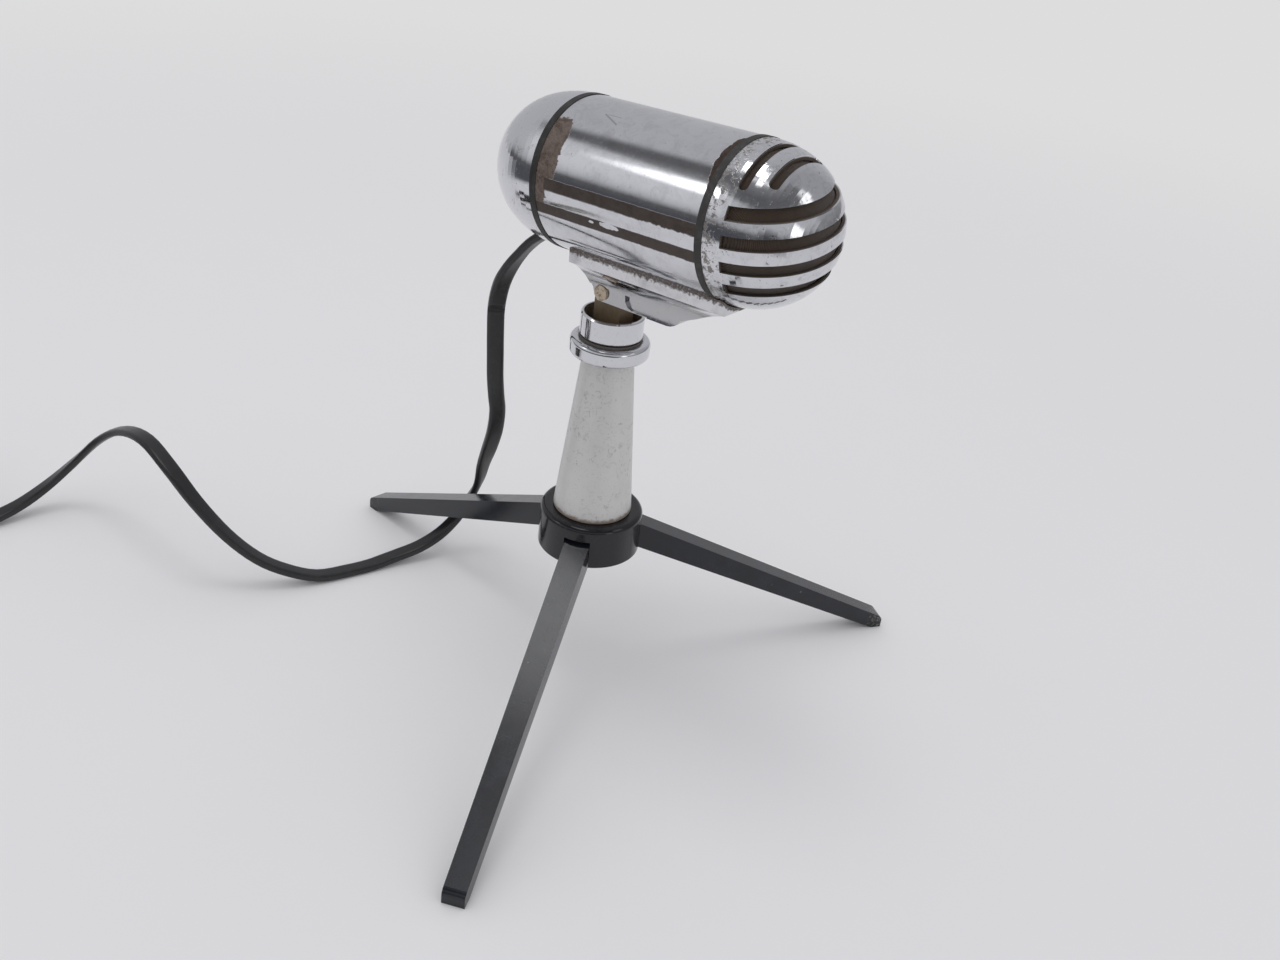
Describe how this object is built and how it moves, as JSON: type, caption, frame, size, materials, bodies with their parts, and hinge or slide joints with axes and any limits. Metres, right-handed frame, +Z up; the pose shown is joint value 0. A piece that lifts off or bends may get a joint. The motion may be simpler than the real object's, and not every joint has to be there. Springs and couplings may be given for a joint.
{
  "type": "table microphone",
  "caption": "Small table microphone: chromed torpedo head with a slotted grille, on a tilt and swivel joint over a conical stem with folding legs and a flat lead.",
  "frame": {"origin": "on the table, at the middle of the box round the stand and the head, lead left out; the stem's axis stands 22.7 mm towards +X and 3.4 mm towards +Y of it", "axes": "+X the way the head points, +Y to the left of the head, +Z up from the table"},
  "size_m": [0.3124, 0.2986, 0.1733],
  "materials": {
    "aluminium": "turned",
    "black_insert": "moulded",
    "black_rubber": "matte",
    "boot_rubber": "matte",
    "brown_board": "laminate",
    "brown_cloth": "woven",
    "chrome": "bright, worn and pitted in places",
    "copper": "enamelled wire",
    "gloss_black": "gloss enamel",
    "lead_black": "smooth, slightly shiny",
    "leg_paint": "semi-gloss enamel, worn at the feet",
    "magnet": "rough",
    "nickel": "bright nickel",
    "old_brass": "tarnished, green in places",
    "plated_steel": "dull zinc",
    "satin_steel": "satin, scuffed",
    "soft_iron": "dull",
    "tan_pin": "dull, browned",
    "tie_strap": "woven strap",
    "tinned_brass": "tinned",
    "winding_paper": "waxed paper over wire",
    "wire_red": "cotton over rubber"
  },
  "bodies": {
    "stand": {"collar_ring": "chrome", "stem_cone": "satin_steel", "stem_bush": "plated_steel", "hub": "gloss_black", "hub_screw": "plated_steel", "leg_pins": "plated_steel", "lead_drop": "lead_black", "lead_floor": "lead_black", "lead_coil": "lead_black", "coil_tie": "tie_strap", "plug_shell": "nickel", "plug_boot": "boot_rubber", "plug_insert": "black_insert", "plug_pins": "tinned_brass"},
    "swivel": {"swivel_cup": "chrome", "tilt_lug": "old_brass", "spring_washer": "plated_steel", "swivel_nut": "old_brass"},
    "head": {"rear_cap": "chrome", "rear_gasket": "black_rubber", "body_sleeve": "chrome", "front_gasket": "black_rubber", "grille_dome": "chrome", "grille_cloth": "brown_cloth", "capsule_ring": "aluminium", "diaphragm": "aluminium", "voice_coil": "copper", "top_plate": "soft_iron", "pole_piece": "soft_iron", "capsule_magnet": "magnet", "capsule_case": "aluminium", "capsule_cushion": "black_rubber", "chassis_plate": "plated_steel", "transformer_core": "soft_iron", "transformer_winding": "winding_paper", "transformer_bracket": "plated_steel", "terminal_board": "brown_board", "solder_tags": "tinned_brass", "inner_wires": "wire_red", "lead_stub": "lead_black", "lead_grommet": "black_rubber", "lead_clamp": "plated_steel", "saddle": "chrome", "saddle_screws": "plated_steel", "tilt_pin": "tan_pin"},
    "front_leg": {"leg_front": "leg_paint"},
    "right_leg": {"leg_right": "leg_paint"},
    "back_leg": {"leg_back": "leg_paint"}
  },
  "joints": [
    {"name": "turn", "type": "hinge", "parent": "stand", "child": "swivel", "pos_m": [0.02267, 0.00337, 0.11], "axis": [0, 0, 1], "range_deg": [-170, 170], "deforming": ["lead_drop"]},
    {"name": "tilt", "type": "hinge", "parent": "swivel", "child": "head", "pos_m": [0.02267, 0.00337, 0.123], "axis": [0, -1, 0], "range_deg": [-15, 60], "deforming": ["lead_drop"]},
    {"name": "fold_front", "type": "hinge", "parent": "stand", "child": "front_leg", "pos_m": [0.02664, -0.0047, 0.0474], "axis": [0.8973, 0.4415, 0], "range_deg": [0, 64]},
    {"name": "fold_right", "type": "hinge", "parent": "stand", "child": "right_leg", "pos_m": [0.02768, 0.01085, 0.0474], "axis": [-0.831, 0.5563, 0], "range_deg": [0, 64]},
    {"name": "fold_back", "type": "hinge", "parent": "stand", "child": "back_leg", "pos_m": [0.01369, 0.00397, 0.0474], "axis": [-0.0663, -0.9978, 0], "range_deg": [0, 64]}
  ]
}
